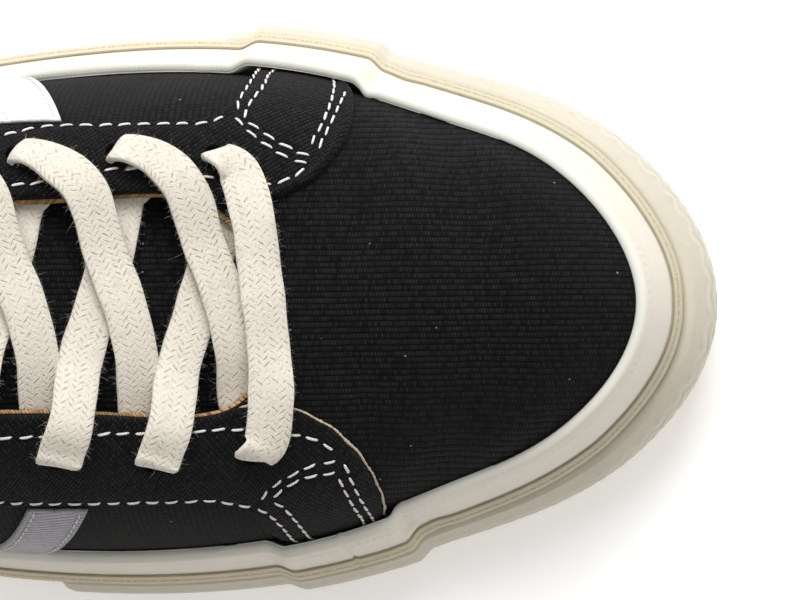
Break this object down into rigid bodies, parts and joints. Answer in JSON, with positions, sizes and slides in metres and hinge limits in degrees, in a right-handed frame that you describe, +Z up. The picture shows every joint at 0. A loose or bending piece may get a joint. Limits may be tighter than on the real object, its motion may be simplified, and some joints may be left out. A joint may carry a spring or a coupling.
{
  "type": "skateboarding shoe",
  "caption": "Low canvas skateboarding shoe for the right foot, laced, with a vulcanised rubber sole, foxing, toe bumper and padded collar.",
  "frame": {"origin": "on the floor, under the middle of the shoe's length and width", "axes": "+X from the heel towards the toe, +Y towards the big-toe side, +Z up"},
  "size_m": [0.2916, 0.1132, 0.1038],
  "materials": {
    "outsole_rubber": "matt cream gum rubber",
    "foxing_rubber": "smooth cream rubber",
    "stripe_rubber": "tan rubber strip",
    "insole_cloth": "natural cotton sock",
    "canvas": "black plain-weave canvas",
    "facing_twill": "black twill",
    "band_leather": "smooth white leather",
    "lace_cotton": "flat woven cream cotton"
  },
  "bodies": {
    "root": {"outsole": "outsole_rubber", "foxing": "foxing_rubber", "foxing_stripe": "stripe_rubber", "toe_bumper": "foxing_rubber", "insole": "insole_cloth", "upper": "canvas", "eyestay_lateral": "facing_twill", "eyestay_medial": "facing_twill", "heel_counter": "facing_twill", "side_band_lateral": "band_leather", "side_band_medial": "band_leather", "tongue": "canvas", "lace_bar": "lace_cotton", "lace_cross_1": "lace_cotton", "lace_cross_2": "lace_cotton", "lace_cross_3": "lace_cotton", "lace_cross_4": "lace_cotton"}
  },
  "joints": []
}
